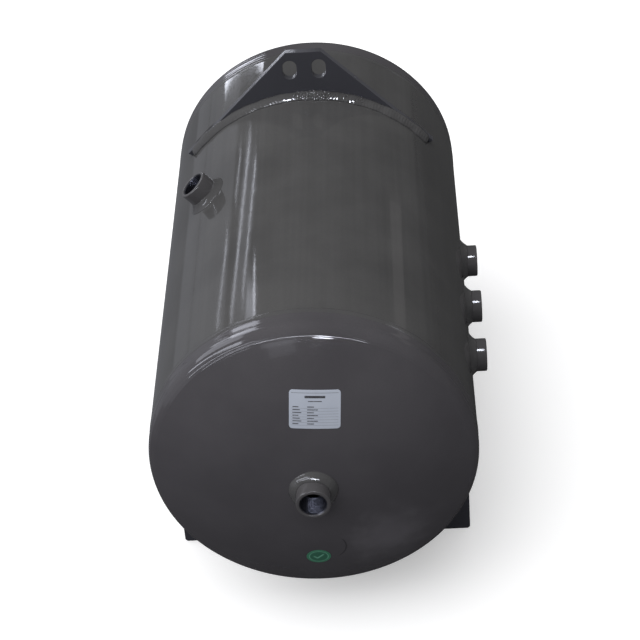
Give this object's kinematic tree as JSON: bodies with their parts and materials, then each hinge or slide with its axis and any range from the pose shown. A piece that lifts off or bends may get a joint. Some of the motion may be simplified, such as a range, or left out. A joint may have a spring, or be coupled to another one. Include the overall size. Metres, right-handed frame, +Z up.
{
  "type": "horizontal pressure tank",
  "caption": "Horizontal steel pressure tank with dished heads, saddle plates, threaded pipe sockets and a slotted top bracket.",
  "frame": {"origin": "on the floor under the middle of the tank, in the plane of the saddles' bottom edges", "axes": "+Z up, the tank's axis along Y, -Y the end with the label, +X the side with three pipe sockets"},
  "size_m": [0.4216, 0.8494, 0.523],
  "materials": {
    "vessel_enamel": "dark grey semi-gloss enamel",
    "painted_plate": "dark grey enamel on flame-cut plate",
    "painted_weld": "glossy enamel over weld bead",
    "painted_fittings": "dark grey enamel on turned steel, bare thread inside",
    "label_paper": "white satin label film",
    "sticker_film": "green vinyl"
  },
  "bodies": {
    "root": {"shell": "vessel_enamel", "shell_seam_weld": "painted_weld", "front_head": "vessel_enamel", "rear_head": "vessel_enamel", "front_girth_weld": "painted_weld", "rear_girth_weld": "painted_weld", "front_socket": "painted_fittings", "rear_socket": "painted_fittings", "left_socket": "painted_fittings", "right_socket_front": "painted_fittings", "right_socket_middle": "painted_fittings", "right_socket_rear": "painted_fittings", "front_socket_weld": "painted_weld", "rear_socket_weld": "painted_weld", "left_socket_weld": "painted_weld", "right_socket_front_weld": "painted_weld", "right_socket_middle_weld": "painted_weld", "right_socket_rear_weld": "painted_weld", "top_bracket": "painted_plate", "bracket_front_weld": "painted_weld", "bracket_rear_weld": "painted_weld", "front_saddle": "painted_plate", "front_saddle_front_weld": "painted_weld", "front_saddle_rear_weld": "painted_weld", "rear_saddle": "painted_plate", "rear_saddle_front_weld": "painted_weld", "rear_saddle_rear_weld": "painted_weld", "rating_label": "label_paper", "inspection_sticker": "sticker_film"}
  },
  "joints": []
}
